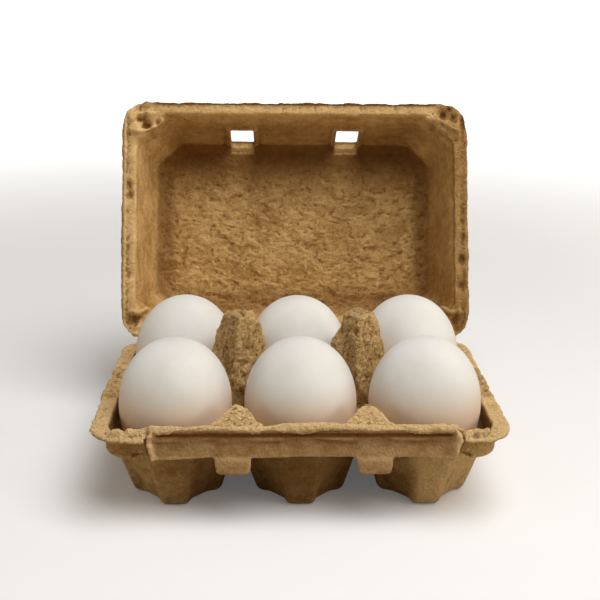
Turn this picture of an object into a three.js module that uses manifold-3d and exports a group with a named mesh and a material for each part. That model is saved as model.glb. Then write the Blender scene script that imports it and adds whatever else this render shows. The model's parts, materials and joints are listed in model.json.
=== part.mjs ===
// An open moulded-pulp carton for six eggs, with the eggs in it.
//
// The carton is one sheet of grey-brown pulp about 2 mm thick, pressed into three parts that fold on each
// other.
// The tray has two rows of three cups with cross-shaped feet, two tall posts between the rows, half-height
// peaks between the cups along its front and back, a shallow belt and a flange round its top.
// The lid stands open and leans back from the tray's rear edge. The locking flap hangs from the front edge.
//
// Millimetres, +Z up, +X to the right and +Y to the back as the open carton is seen from the front.
// Everything is placed from the middle of the tray at floor level, and the last group centres the whole.

import * as THREE from "three";
import { mergeVertices } from "three/addons/utils/BufferGeometryUtils.js";
import Module from "manifold-3d";

const wasm = await Module();
wasm.setup();

// Driving sizes of the tray
const WALL = 2; // thickness of the pulp
const PITCH_X = 47.6; // from cup to cup along a row
const PITCH_Y = 45.6; // from row to row
const RIM_Z = 34.4; // top of the flange above the floor
const FLANGE = { halfX: 77, front: -53.6, back: 51, radius: 13 };
const BELT = { halfX: 70.4, front: -48.4, back: 47.8, radius: 9, shelfZ: 29.4, draft: 0.6 };
const CREST = { left: -56.6, right: 58.2, topZ: 37, thickness: 1.4 }; // raised front wall, carries the flap
const POST_TOP_Z = 64.6;
const SADDLE_X_Z = 28.2; // low points between neighbouring cups of one row
const SADDLE_Y_Z = 25; // low points between the two rows
const SADDLE_HALF_WIDTH = 6.2;
const POST_BLOCK = { halfX: 13, halfY: 13 };
const BLOCK_BASE_Z = 20; // posts and peaks grow out of the cups' walls from here

// Outer shape of a cup at heights above the floor: [height, distance from the cup's axis]
const ARM_TO_CUP = [[0, 16.8], [28, 24.4], [66, 36]];
const ARM_TO_SIDE = [[0, 16.8], [28, 24.8], [66, 27.5]];
const ARM_TO_FRONT = [[0, 16.8], [28, 27.6], [66, 28.8]];
const ARM_TO_BACK = [[0, 16.8], [28, 27], [66, 28.2]];
const ARM_HALF_WIDTH = [[0, 5.3], [22, 7.6], [28, 8.2], [66, 8.2]];
const CORNER_TO_POST = [[0, 12.9], [10, 16.6], [22, 21], [28, 22.2], [37, 24.3], [66, 31.3]];
const CORNER_TO_PEAK = [[0, 12.9], [10, 16.8], [22, 23.2], [28, 25.5], [37, 30.4], [66, 38.4]];
const CORNER_TO_RIM = [[0, 12.9], [10, 16.8], [22, 23.2], [28, 25.5], [37, 33], [66, 42]];
const CUP_LEVELS = [10, 22, 28, 37, 68];
const CUP_FOOT = { padRadius: 5, padRise: 2.3, soleInner: 8.5, soleOuter: 0.92, edgeRise: 1.4 };
// Angles within a quarter turn, in degrees, that catch the arms' corners and the hollow between two arms
const RING_ANGLES = [12, 18, 25, 34, 45, 56, 65, 72, 78];

// Half-height peaks: their roof slopes from topZ down towards the flange at the outer side
const PEAK_HALF_WIDTH = 13;
const PEAK_REACH = 12; // level top, from the roof's upper edge towards the cups
const PEAK_ROOF_DROP = 1.4; // the wall, measured straight down through the slope
const FRONT_PEAK = { topY: -44, topZ: 43.3, slope: 1.35 };
const BACK_PEAK = { topY: 38.6, topZ: 41.4, slope: 1.45 };

// Driving sizes of the lid, measured in its own rim plane: x along the hinge, t away from it, s into the lid
const HINGE = { y: 51.35, z: RIM_Z };
const LEAN_DEG = 20.2; // how far the open lid leans back from upright
const RIM_GAP = 0.3; // keeps the shut lid just off the flange
const LID = { halfX: 79.5, near: 0.6, far: 109, nearChamfer: 9, farRadius: 11 };
const LID_HOLLOW = [
  { s: 0, halfX: 73.6, near: 3.2, far: 104.2, chamfer: 13 },
  { s: 16, halfX: 70.1, near: 5, far: 100.1, chamfer: 12.5 },
  { s: 31, halfX: 66.8, near: 13, far: 96.2, chamfer: 11 },
  { s: 34, halfX: 63.6, near: 17, far: 93, chamfer: 9 },
];
const LID_HOLE = { x: 25.4, halfWidth: 5.5, from: 15, to: 32.5, frame: 1.6, frameRise: 1.2 };

// Driving sizes of the flap: its centre line as [distance out from the hinge, drop below it]
const FLAP_HINGE = { y: -50.35, z: 37.3 };
const FLAP = { left: -54.4, right: 56, thickness: 1.5, edgeDrop: 10.2, tabDrop: 16.5 };
const FLAP_LINE = [[0.7, 0.2], [0.8, 3], [1.4, 6.2], [2.3, 10.2], [3.1, 13.8], [3.5, 17]];
const TAB = { x: [-25, 26.2], halfTop: 7.8, halfEnd: 5.6, corner: 2.4 };

// Driving sizes of the eggs. Each lies in its cup with its blunt end up, and leans a little outwards.
const EGG = { radius: 21.5, bluntness: 0.085, bottomZ: 4.85 };
const EGG_LENGTHS = { front: [57.4, 57.6, 57.9], back: [58.4, 58.2, 58.5] }; // from left to right
const EGG_LEAN_DEG = 3.6;
const EGG_FACETS = { around: 22, along: 16 };

const CUT_PAST = 5; // how far a cut runs past what it cuts
const CHAMFER_GROWTH = 2 - Math.SQRT2; // of a 45 degree chamfer, for each millimetre of wall outside it

const PULP_COLORS = { tray: 0xc39a68, lid: 0xb99263, flap: 0xb08b5e };
const SHELL = { color: 0xf2efe9, roughness: 0.5, metalness: 0 };

// Reads a value off a list of [position, value] pairs, straight between them and level past their ends.
function readProfile(pairs, position) {
  const last = pairs.length - 1;
  if (position <= pairs[0][0]) return pairs[0][1];
  for (let i = 0; i < last; i++) {
    const [p0, v0] = pairs[i];
    const [p1, v1] = pairs[i + 1];
    if (position <= p1) return v0 + ((v1 - v0) * (position - p0)) / (p1 - p0);
  }
  return pairs[last][1];
}

// Closed skin through rings of equally many points, each counter-clockwise from above, from the bottom up.
function loft(rings) {
  const points = rings.flat().concat([centreOf(rings[0]), centreOf(rings.at(-1))]);
  const count = rings[0].length;
  const bottom = rings.length * count;
  const faces = [];
  for (let j = 0; j < count; j++) {
    const next = (j + 1) % count;
    faces.push(bottom, next, j);
    faces.push(bottom + 1, bottom - count + j, bottom - count + next);
    for (let i = 0; i < rings.length - 1; i++) {
      const low = i * count;
      const high = low + count;
      faces.push(low + j, low + next, high + next, low + j, high + next, high + j);
    }
  }
  const geometry = new THREE.BufferGeometry();
  geometry.setAttribute("position", new THREE.Float32BufferAttribute(points.flatMap((p) => p.toArray()), 3));
  geometry.setIndex(faces);
  return geometry;
}

function centreOf(ring) {
  return ring.reduce((sum, p) => sum.add(p), new THREE.Vector3()).divideScalar(ring.length);
}

function solid(geometry) {
  const bare = geometry.index ? geometry.toNonIndexed() : geometry.clone();
  bare.deleteAttribute("normal");
  bare.deleteAttribute("uv");
  const merged = mergeVertices(bare, 1e-4);
  return new wasm.Manifold(
    new wasm.Mesh({
      numProp: 3,
      vertProperties: merged.attributes.position.array,
      triVerts: new Uint32Array(merged.index.array),
    }),
  );
}

function geometryOf(manifold) {
  const mesh = manifold.getMesh();
  const geometry = new THREE.BufferGeometry();
  geometry.setAttribute("position", new THREE.Float32BufferAttribute(mesh.vertProperties, 3));
  geometry.setIndex(Array.from(mesh.triVerts));
  geometry.computeVertexNormals();
  return geometry;
}

function box(x0, x1, y0, y1, z0, z1) {
  const geometry = new THREE.BoxGeometry(x1 - x0, y1 - y0, z1 - z0);
  return solid(geometry.translate((x0 + x1) / 2, (y0 + y1) / 2, (z0 + z1) / 2));
}

function joined(solids) {
  return solids.reduce((sum, next) => sum.add(next));
}

// Solid between two places along X with the given outline, which is drawn in Y and Z.
function acrossX(outline, fromX, toX) {
  const geometry = new THREE.ExtrudeGeometry(outline, { depth: toX - fromX, bevelEnabled: false });
  const turn = new THREE.Matrix4();
  turn.makeBasis(new THREE.Vector3(0, 1, 0), new THREE.Vector3(0, 0, 1), new THREE.Vector3(1, 0, 0));
  return solid(geometry.applyMatrix4(turn).translate(fromX, 0, 0));
}

// Rectangle in plan at one height, its corners cut straight (arc of one step) or rounded (more steps).
function rectangleRing({ left, right, low, high, corners, z }) {
  const ring = [];
  const places = [
    [right, low, -1, 1, 270],
    [right, high, -1, -1, 0],
    [left, high, 1, -1, 90],
    [left, low, 1, 1, 180],
  ];
  places.forEach(([x, y, inX, inY, start], i) => {
    const { size, steps } = corners[i];
    for (let k = 0; k <= steps; k++) {
      const angle = THREE.MathUtils.degToRad(start + (90 * k) / steps);
      const onArc = new THREE.Vector3(Math.cos(angle), Math.sin(angle), 0).multiplyScalar(size);
      ring.push(onArc.add(new THREE.Vector3(x + inX * size, y + inY * size, z)));
    }
  });
  return ring;
}

function roundedRing(halfX, low, high, radius, z, steps = 5) {
  const corners = Array(4).fill({ size: radius, steps });
  return rectangleRing({ left: -halfX, right: halfX, low, high, corners, z });
}

// Cups: a cross of four arms whose inner corners are filled, wider towards the top

// How a cup's corner widens depends on what stands there: a post, a peak between two cups, or only the rim.
function cornerProfile(row, column, dx, dy) {
  const atEnd = column === dx;
  if (dy === row) return atEnd ? CORNER_TO_RIM : CORNER_TO_PEAK;
  return atEnd ? CORNER_TO_PEAK : CORNER_TO_POST;
}

function makeCup(row, column) {
  const sideArm = (side) => (column === side ? ARM_TO_SIDE : ARM_TO_CUP);
  const corner = (dx, dy) => cornerProfile(row, column, dx, dy);
  return {
    row,
    column,
    x: column * PITCH_X,
    y: (row * PITCH_Y) / 2,
    arms: [sideArm(1), row > 0 ? ARM_TO_BACK : ARM_TO_CUP, sideArm(-1), row > 0 ? ARM_TO_CUP : ARM_TO_FRONT],
    corners: [corner(1, 1), corner(-1, 1), corner(-1, -1), corner(1, -1)],
  };
}

const cups = [-1, 1].flatMap((row) => [-1, 0, 1].map((column) => makeCup(row, column)));

function cupRadius(cup, angle, z, offset) {
  const quarter = Math.PI / 2;
  const arm = Math.round(angle / quarter) % 4;
  const fromArm = angle - Math.round(angle / quarter) * quarter;
  const corner = Math.floor(angle / quarter) % 4;
  const armEnd = readProfile(cup.arms[arm], z) + offset;
  const armSide = readProfile(ARM_HALF_WIDTH, z) + offset;
  const filling = readProfile(cup.corners[corner], z) + offset;
  const acrossCorner = Math.PI / 4 - Math.abs(fromArm);
  const side = Math.max(armSide / Math.abs(Math.sin(fromArm)), filling / Math.cos(acrossCorner));
  return Math.min(armEnd / Math.cos(fromArm), side);
}

function polarRing(cup, radiusAt, z) {
  const turns = [0, 90, 180, 270].flatMap((quarter) => RING_ANGLES.map((degrees) => quarter + degrees));
  return turns.map((degrees) => {
    const angle = THREE.MathUtils.degToRad(degrees);
    const radius = radiusAt(angle);
    return new THREE.Vector3(cup.x + radius * Math.cos(angle), cup.y + radius * Math.sin(angle), z);
  });
}

// Ring at height z of the cross shape that the cup has at height shapeZ, grown by offset and then scaled.
function crossRing(cup, shapeZ, z, offset, scale) {
  return polarRing(cup, (angle) => cupRadius(cup, angle, shapeZ, offset) * scale, z);
}

function roundRing(cup, radius, z) {
  return polarRing(cup, () => radius, z);
}

// The space taken by a cup up to above the posts: its outside, or its hollow if inset by the wall.
function cupSolid(cup, inset) {
  const floor = inset;
  const { padRadius, padRise, soleInner, soleOuter, edgeRise } = CUP_FOOT;
  const rings = [
    roundRing(cup, padRadius, floor + padRise),
    roundRing(cup, soleInner, floor),
    crossRing(cup, 0, floor, -inset, soleOuter),
    crossRing(cup, edgeRise, floor + edgeRise, -inset, 1),
  ];
  for (const z of CUP_LEVELS) rings.push(crossRing(cup, z, z, -inset, 1));
  return solid(loft(rings));
}

// Tray

const POST_X = PITCH_X / 2;

// Plain blocks that the cups carve into posts. The underside's blocks are smaller by the wall.
function postBlocks(inset) {
  const reachX = POST_BLOCK.halfX - inset;
  const reachY = POST_BLOCK.halfY - inset;
  const top = POST_TOP_Z - inset;
  const post = (x) => box(x - reachX, x + reachX, -reachY, reachY, BLOCK_BASE_Z, top);
  return joined([post(-POST_X), post(POST_X)]);
}

// A peak's block under its sloping roof, out to outerY. The underside's roof and sides lie in by the wall.
function peakBlocks(peak, outerY, inset) {
  const sink = inset * PEAK_ROOF_DROP;
  const halfWidth = PEAK_HALF_WIDTH - inset;
  const outward = Math.sign(peak.topY);
  const innerY = peak.topY - outward * PEAK_REACH;
  const run = Math.abs(outerY - peak.topY);
  const roof = [
    [innerY, peak.topZ - sink],
    [peak.topY, peak.topZ - sink],
    [outerY, Math.max(peak.topZ - run * peak.slope, RIM_Z) - sink],
  ];
  const outline = new THREE.Shape([
    new THREE.Vector2(innerY, BLOCK_BASE_Z),
    ...roof.map(([y, z]) => new THREE.Vector2(y, z)),
    new THREE.Vector2(outerY, BLOCK_BASE_Z),
  ]);
  return joined([-POST_X, POST_X].map((x) => acrossX(outline, x - halfWidth, x + halfWidth)));
}

function beltSolid(grow, fromZ, toZ) {
  const ring = (z) => {
    const lean = (BELT.draft * (z - BELT.shelfZ)) / (RIM_Z - BELT.shelfZ);
    const size = grow + lean;
    return roundedRing(BELT.halfX + size, BELT.front - size, BELT.back + size, BELT.radius + size, z);
  };
  return solid(loft([ring(fromZ), ring(toZ)]));
}

// The dips between neighbouring cups. On the sheet's underside they lie lower and wider by the wall.
function saddleChannels(grow) {
  const half = SADDLE_HALF_WIDTH + grow;
  const top = POST_TOP_Z + CUT_PAST;
  const rows = [-1, 1].map((row) => {
    const y = (row * PITCH_Y) / 2;
    return box(-PITCH_X, PITCH_X, y - half, y + half, SADDLE_X_Z - grow, top);
  });
  const columns = [-1, 0, 1].map((column) => {
    const x = column * PITCH_X;
    return box(x - half, x + half, -PITCH_Y / 2, PITCH_Y / 2, SADDLE_Y_Z - grow, top);
  });
  return joined([...rows, ...columns]);
}

function makeTray() {
  const { halfX, front, back, radius } = FLANGE;
  const outline = (z, grow) => roundedRing(halfX + grow, front - grow, back + grow, radius + grow, z);
  const crestOuter = BELT.front - CREST.thickness;
  const aboveRim = RIM_Z + CUT_PAST;

  const body = solid(loft([outline(0, 0), outline(RIM_Z, 0)]))
    .subtract(beltSolid(0, BELT.shelfZ, aboveRim))
    .subtract(box(CREST.left, CREST.right, front - CUT_PAST, crestOuter, -CUT_PAST, aboveRim))
    .add(box(CREST.left, CREST.right, crestOuter, BELT.front, BELT.shelfZ, CREST.topZ))
    .add(postBlocks(0))
    .add(peakBlocks(FRONT_PEAK, crestOuter, 0))
    .add(peakBlocks(BACK_PEAK, BELT.back, 0))
    .subtract(saddleChannels(0))
    .subtract(joined(cups.map((cup) => cupSolid(cup, WALL))));

  const under = solid(loft([outline(-CUT_PAST, CUT_PAST), outline(RIM_Z - WALL, CUT_PAST)]))
    .subtract(beltSolid(WALL, BELT.shelfZ - WALL, aboveRim))
    .add(postBlocks(WALL))
    .add(peakBlocks(FRONT_PEAK, BELT.front, WALL))
    .add(peakBlocks(BACK_PEAK, BELT.back - 2 * WALL, WALL))
    .subtract(saddleChannels(WALL))
    .subtract(joined(cups.map((cup) => cupSolid(cup, 0))));
  return body.subtract(under);
}

// Lid, in its own frame: x along the hinge, y = t away from it, z = -s so that the rim faces up

function lidRing({ s, halfX, near, far, chamfer }, grow, deeper) {
  const corners = Array(4).fill({ size: chamfer + grow * CHAMFER_GROWTH, steps: 1 });
  return rectangleRing({
    left: -halfX - grow,
    right: halfX + grow,
    low: near - grow,
    high: far + grow,
    corners,
    z: -s - deeper,
  });
}

function lidShell(grow, deeper, rise) {
  const rings = [...LID_HOLLOW].reverse().map((level) => lidRing(level, grow, deeper));
  if (rise > 0) rings.push(lidRing({ ...LID_HOLLOW[0], s: -rise }, grow, 0));
  else rings[rings.length - 1] = lidRing(LID_HOLLOW[0], grow, 0);
  return solid(loft(rings));
}

function makeLid() {
  const nearCorner = { size: LID.nearChamfer, steps: 4 };
  const farCorner = { size: LID.farRadius, steps: 6 };
  const plate = (z) =>
    rectangleRing({
      left: -LID.halfX,
      right: LID.halfX,
      low: LID.near,
      high: LID.far,
      corners: [nearCorner, farCorner, farCorner, nearCorner],
      z,
    });
  const { x, halfWidth, from, to, frame, frameRise } = LID_HOLE;
  // Frames and holes run along the far wall, which narrows from level 0 to level 2 of the hollow
  const [mouth, , deep] = LID_HOLLOW;
  const wallAt = (s) => mouth.far + ((deep.far - mouth.far) * (s - mouth.s)) / (deep.s - mouth.s);
  const alongWall = (centre, half, s0, s1, inward, outward) => {
    const level = (s) => [
      new THREE.Vector3(centre - half, wallAt(s) - inward, -s),
      new THREE.Vector3(centre + half, wallAt(s) - inward, -s),
      new THREE.Vector3(centre + half, wallAt(s) + outward, -s),
      new THREE.Vector3(centre - half, wallAt(s) + outward, -s),
    ];
    return solid(loft([level(s1), level(s0)]));
  };
  const frames = [-x, x].map((centre) =>
    alongWall(centre, halfWidth + frame, from - frame, to + frame, frameRise, WALL / 2),
  );
  const holes = [-x, x].map((centre) => alongWall(centre, halfWidth, from, to, CUT_PAST, CUT_PAST));
  return solid(loft([plate(-WALL), plate(0)]))
    .add(lidShell(WALL, WALL, 0))
    .subtract(lidShell(0, 0, CUT_PAST))
    .add(joined(frames))
    .subtract(joined(holes));
}

// Flap, with its hinge line at the origin: a strip bent along its line and cut to its outline

function flapStrip() {
  const half = FLAP.thickness / 2;
  const line = FLAP_LINE.map(([out, drop]) => new THREE.Vector2(-out, -drop));
  const normals = line.map((p, i) => {
    const before = line[Math.max(i - 1, 0)];
    const after = line[Math.min(i + 1, line.length - 1)];
    const along = after.clone().sub(before).normalize();
    return new THREE.Vector2(-along.y, along.x);
  });
  const side = (sign) => line.map((p, i) => p.clone().addScaledVector(normals[i], sign * half));
  return acrossX(new THREE.Shape([...side(1), ...side(-1).reverse()]), FLAP.left, FLAP.right);
}

function makeFlap() {
  const { halfTop, halfEnd, corner } = TAB;
  const shape = new THREE.Shape();
  shape.moveTo(FLAP.left - CUT_PAST, CUT_PAST);
  shape.lineTo(FLAP.left - CUT_PAST, -FLAP.edgeDrop);
  for (const x of TAB.x) {
    shape.lineTo(x - halfTop, -FLAP.edgeDrop);
    shape.lineTo(x - halfEnd, -FLAP.tabDrop + corner);
    shape.quadraticCurveTo(x - halfEnd, -FLAP.tabDrop, x - halfEnd + corner, -FLAP.tabDrop);
    shape.lineTo(x + halfEnd - corner, -FLAP.tabDrop);
    shape.quadraticCurveTo(x + halfEnd, -FLAP.tabDrop, x + halfEnd, -FLAP.tabDrop + corner);
    shape.lineTo(x + halfTop, -FLAP.edgeDrop);
  }
  shape.lineTo(FLAP.right + CUT_PAST, -FLAP.edgeDrop);
  shape.lineTo(FLAP.right + CUT_PAST, CUT_PAST);
  const depth = 4 * CUT_PAST;
  const cutter = new THREE.ExtrudeGeometry(shape, { depth, bevelEnabled: false, curveSegments: 4 });
  cutter.rotateX(Math.PI / 2).translate(0, CUT_PAST, 0);
  return flapStrip().intersect(solid(cutter));
}

// Eggs

function eggGeometry(length) {
  const { radius, bluntness } = EGG;
  const profile = [];
  for (let i = 0; i <= EGG_FACETS.along; i++) {
    const turn = -Math.PI / 2 + (Math.PI * i) / EGG_FACETS.along;
    const width = radius * Math.cos(turn) * (1 + bluntness * Math.sin(turn));
    const atPole = i % EGG_FACETS.along === 0;
    profile.push(new THREE.Vector2(atPole ? 0 : width, (length / 2) * (1 + Math.sin(turn))));
  }
  return new THREE.LatheGeometry(profile, EGG_FACETS.around).rotateX(Math.PI / 2);
}

// Assembly

function pulp(color) {
  return new THREE.MeshStandardMaterial({ color, roughness: 0.95, metalness: 0 });
}

function named(name, geometry, material) {
  const mesh = new THREE.Mesh(geometry, material);
  mesh.name = name;
  return mesh;
}

const placed = new THREE.Group();
placed.add(named("tray", geometryOf(makeTray()), pulp(PULP_COLORS.tray)));

const lidPivot = new THREE.Group();
lidPivot.position.set(0, HINGE.y, HINGE.z);
// Lying open flat, the lid's rim faces up. From there it swings up to its lean.
lidPivot.rotation.x = THREE.MathUtils.degToRad(90 - LEAN_DEG);
const lid = named("lid", geometryOf(makeLid()), pulp(PULP_COLORS.lid));
lid.position.z = -RIM_GAP;
lidPivot.add(lid);
placed.add(lidPivot);

const flap = named("locking_flap", geometryOf(makeFlap()), pulp(PULP_COLORS.flap));
flap.position.set(0, FLAP_HINGE.y, FLAP_HINGE.z);
placed.add(flap);

const shell = new THREE.MeshStandardMaterial(SHELL);
for (const cup of cups) {
  const row = cup.row < 0 ? "front" : "back";
  const side = ["left", "middle", "right"][cup.column + 1];
  const length = EGG_LENGTHS[row][cup.column + 1];
  const egg = named(`egg_${row}_${side}`, eggGeometry(length), shell);
  egg.position.set(cup.x, cup.y, EGG.bottomZ);
  egg.rotation.x = THREE.MathUtils.degToRad(-cup.row * EGG_LEAN_DEG);
  placed.add(egg);
}

// The frame's origin is on the floor, at the middle of the whole carton as it stands open.
const carton = new THREE.Group();
carton.add(placed);
const extent = new THREE.Box3().setFromObject(carton, true);
placed.position.set(-(extent.min.x + extent.max.x) / 2, -(extent.min.y + extent.max.y) / 2, -extent.min.z);

export default carton;
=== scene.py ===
import json
import math

import bmesh
import bpy
import numpy as np
from mathutils import Matrix, Vector


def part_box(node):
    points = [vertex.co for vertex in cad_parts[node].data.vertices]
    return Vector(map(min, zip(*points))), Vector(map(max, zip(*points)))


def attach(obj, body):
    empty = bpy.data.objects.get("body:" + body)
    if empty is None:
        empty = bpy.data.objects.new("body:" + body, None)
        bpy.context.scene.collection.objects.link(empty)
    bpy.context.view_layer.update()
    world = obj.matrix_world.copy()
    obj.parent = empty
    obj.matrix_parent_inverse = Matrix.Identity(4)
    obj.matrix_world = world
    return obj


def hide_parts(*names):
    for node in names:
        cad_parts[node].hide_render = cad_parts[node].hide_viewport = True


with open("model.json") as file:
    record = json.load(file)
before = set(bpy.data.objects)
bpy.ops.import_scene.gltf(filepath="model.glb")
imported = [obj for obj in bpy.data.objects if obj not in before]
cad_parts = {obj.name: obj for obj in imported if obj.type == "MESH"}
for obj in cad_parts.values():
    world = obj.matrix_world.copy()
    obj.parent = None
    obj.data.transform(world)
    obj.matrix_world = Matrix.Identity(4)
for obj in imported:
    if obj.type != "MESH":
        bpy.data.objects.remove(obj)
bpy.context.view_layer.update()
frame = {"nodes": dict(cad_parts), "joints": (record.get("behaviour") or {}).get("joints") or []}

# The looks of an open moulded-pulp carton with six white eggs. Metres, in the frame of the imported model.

mm = 0.001

joints = {joint["name"]: joint for joint in frame["joints"]}
LID_HINGE = Vector(joints["lid_hinge"]["pos_m"])
FLAP_HINGE = Vector(joints["flap_fold"]["pos_m"])
LID_LEAN = math.radians(joints["lid_hinge"]["range_deg"][1] - 90)
tray_low, tray_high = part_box("tray")
flap_low, flap_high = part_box("locking_flap")

# The tray's own middle, which its cups, posts and rim are centred on
TRAY_Y = LID_HINGE.y - 51.35 * mm
RIM_Z = LID_HINGE.z
ROW_Y = 22.8 * mm
# The posts stand within this distance of the tray's middle
POSTS_HALF_Y = 16 * mm
FLANGE_HALF_X = tray_high.x
FLANGE_CORNER = 12 * mm

# The belt below the flange: its outline from above, and the ropes that deepen its lower edge
BELT_HALF_X = 72.4 * mm
BELT_FRONT = -50.4 * mm
BELT_BACK = 49.8 * mm
BELT_CORNER = 10 * mm
BELT_HEIGHTS = (25.9 * mm, 27.6 * mm)
BELT_INSETS = (1.2 * mm, 2.7 * mm, 4.2 * mm, 5.7 * mm)

# The lid in its own coordinates, and the middles of its lock holes and of the flap's tabs
LID_HALF_X = 79.5 * mm
LID_REACH = 109 * mm
LID_CORNER = 10 * mm
HOLE_X = 25.4 * mm
TABS_X = (-25 * mm, 26.2 * mm)

# Radii of the ropes of pulp that round off torn edges
FLANGE_ROPE = 1.2 * mm
RIDGE_ROPE = 1.6 * mm
BELT_ROPE = 1.1 * mm
HINGE_ROPE = 0.85 * mm
LID_ROPE = 0.95 * mm
FOLD_ROPE = 1.15 * mm
CURL_ROPE = 0.95 * mm
LIP_ROPE = 0.6 * mm
ROPE_SIDES = 10

EGG_NAMES = [f"egg_{row}_{side}" for row in ("front", "back") for side in ("left", "middle", "right")]

EGG_RADIUS = 21.4 * mm
EGG_BLUNTNESS = 0.085
EGG_LEAN = math.radians(3.6)

PULP_VOXEL = 0.62 * mm
FLAP_VOXEL = 0.42 * mm
PULP_TRIANGLES = 190_000

# Colours, linear
PULP_MID = (0.44, 0.253, 0.082)
# PULP_DARK paints shade in creases, wrinkle valleys and shaded places, and the dark of cracks
PULP_DARK = (0.17, 0.066, 0.013)
PULP_LIGHT = (0.74, 0.49, 0.21)
# PULP_PALE paints highlights, and the lighter pulp of torn edges
PULP_PALE = (0.88, 0.61, 0.3)
FLECK_DARK = (0.07, 0.035, 0.014)
SHELL_WHITE = (0.84, 0.83, 0.8)
SHELL_WARM = (0.8, 0.775, 0.73)
SHELL_PAINTED_BOUNCE = (0.82, 0.62, 0.44)
# Painted reflection: going down, the shells take on the pulp's colour between these heights, standing in for
# light bounced off the pulp
SHELL_PAINTED_BOUNCE_FROM = 51 * mm
SHELL_PAINTED_BOUNCE_TO = 33 * mm

# How far apart the forming screen's wires are in its print
SCREEN_PITCH = 0.95 * mm

# Courses of short cracks on the roofs of the peaks
CRACK_STRETCH = (0.45, 0.8, 1.3)
CRACK_SCALE = 620.0

FLOOR_HALF = 6.0
FLOOR_PALE = (0.93, 0.93, 0.93)
FLOOR_LIFT = 0.09
FLOOR_BOUNCE = (0.5, 0.43, 0.33)
FLOOR_GLOW_FROM = 0.2
FLOOR_GLOW_TO = 1.2
ROOM_LIGHT = 0.13
ROOM_TINT = (1.0, 0.88, 0.7)

# Area lights: name, place, size, power and colour
LIGHTS = (
    ("key", (0.3, -0.28, 1.0), (0.85, 0.85), 10.2, (1, 0.99, 0.975)),
    ("left", (-0.85, -0.2, 0.15), (0.4, 0.25), 1.1, (1, 0.93, 0.84)),
    ("right", (0.85, -0.3, 0.15), (0.4, 0.25), 1.8, (1, 0.91, 0.79)),
)
LIGHTS_TARGET = (0, -0.03, 0.05)


# Camera

CAMERA_POSITION = Vector((-10.956 * mm, -372.504 * mm + TRAY_Y, 187.858 * mm))
CAMERA_ELEVATION = math.radians(17.61)
CAMERA_YAW = math.radians(-1.713)
CAMERA_ROLL = math.radians(0.585)
CAMERA_LENS = 59.09
CAMERA_SENSOR = 36


def add_camera():
    back = Vector((
        math.sin(CAMERA_YAW) * math.cos(CAMERA_ELEVATION),
        -math.cos(CAMERA_YAW) * math.cos(CAMERA_ELEVATION),
        math.sin(CAMERA_ELEVATION),
    ))
    level = Vector((0, 0, 1)).cross(back).normalized()
    upright = back.cross(level)
    right = level * math.cos(CAMERA_ROLL) + upright * math.sin(CAMERA_ROLL)
    up = -level * math.sin(CAMERA_ROLL) + upright * math.cos(CAMERA_ROLL)
    data = bpy.data.cameras.new("camera")
    data.sensor_width = CAMERA_SENSOR
    data.lens = CAMERA_LENS
    data.clip_start = 0.01
    camera = bpy.data.objects.new("camera", data)
    bpy.context.scene.collection.objects.link(camera)
    turn = Matrix((right, up, back)).transposed().to_4x4()
    camera.matrix_world = Matrix.Translation(CAMERA_POSITION) @ turn
    bpy.context.scene.camera = camera


# Node trees

class Tree:
    """A node tree in the making: each call adds a node and links its inputs."""

    def __init__(self, tree):
        self.tree = tree

    def node(self, kind, settings=None, inputs=None):
        node = self.tree.nodes.new(kind)
        for name, value in (settings or {}).items():
            setattr(node, name, value)
        for name, value in (inputs or {}).items():
            self.feed(node.inputs[name], value)
        return node

    def feed(self, socket, value):
        if isinstance(value, bpy.types.NodeSocket):
            self.tree.links.new(value, socket)
        else:
            socket.default_value = value

    def math(self, operation, *values, clamp=False):
        inputs = dict(enumerate(values))
        return self.node("ShaderNodeMath", {"operation": operation, "use_clamp": clamp}, inputs).outputs[0]

    def weighted(self, *terms):
        """The sum of values that are each multiplied by a weight."""
        total = None
        for value, weight in terms:
            share = value if weight == 1 else self.math("MULTIPLY", value, weight)
            total = share if total is None else self.math("ADD", total, share)
        return total

    def vector(self, operation, *values):
        node = self.node("ShaderNodeVectorMath", {"operation": operation})
        for index, value in enumerate(values):
            self.feed(node.inputs["Scale" if operation == "SCALE" and index == 1 else index], value)
        return node.outputs["Value" if operation == "LENGTH" else "Vector"]

    def remap(self, value, low, high, to_low=0.0, to_high=1.0):
        inputs = {"Value": value, "From Min": low, "From Max": high, "To Min": to_low, "To Max": to_high}
        settings = {"interpolation_type": "SMOOTHSTEP"}
        return self.node("ShaderNodeMapRange", settings, inputs).outputs["Result"]

    def noise(self, place, scale, detail=3.0, roughness=0.5, distortion=0.0):
        """Noise between 0 and 1. The scale is per metre: at 1000 its features are about a millimetre wide."""
        inputs = {
            "Vector": place,
            "Scale": scale,
            "Detail": detail,
            "Roughness": roughness,
            "Distortion": distortion,
        }
        return self.node("ShaderNodeTexNoise", {"noise_dimensions": "3D"}, inputs).outputs[0]

    def mix_colour(self, factor, first, second, blend="MIX"):
        node = self.node("ShaderNodeMix", {"data_type": "RGBA", "blend_type": blend})
        self.feed(node.inputs[0], factor)
        for index, value in ((6, first), (7, second)):
            self.feed(node.inputs[index], (*value, 1) if isinstance(value, tuple) else value)
        return node.outputs[2]


def crack_distance(build, place):
    """How far each point is from the nearest of the short cracks."""
    slant = build.vector("MULTIPLY", place, CRACK_STRETCH)
    settings = {"feature": "DISTANCE_TO_EDGE"}
    inputs = {"Vector": slant, "Scale": CRACK_SCALE}
    return build.node("ShaderNodeTexVoronoi", settings, inputs).outputs["Distance"]


def end_dressed(build, geometry, material):
    """Ends a geometry tree: smooth shading, real instances and the material."""
    smooth = build.node("GeometryNodeSetShadeSmooth", inputs={"Geometry": geometry})
    real = build.node("GeometryNodeRealizeInstances", inputs={"Geometry": smooth.outputs[0]})
    inputs = {"Geometry": real.outputs[0], "Material": material}
    dressed = build.node("GeometryNodeSetMaterial", inputs=inputs)
    build.node("NodeGroupOutput", inputs={"Geometry": dressed.outputs[0]})


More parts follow.
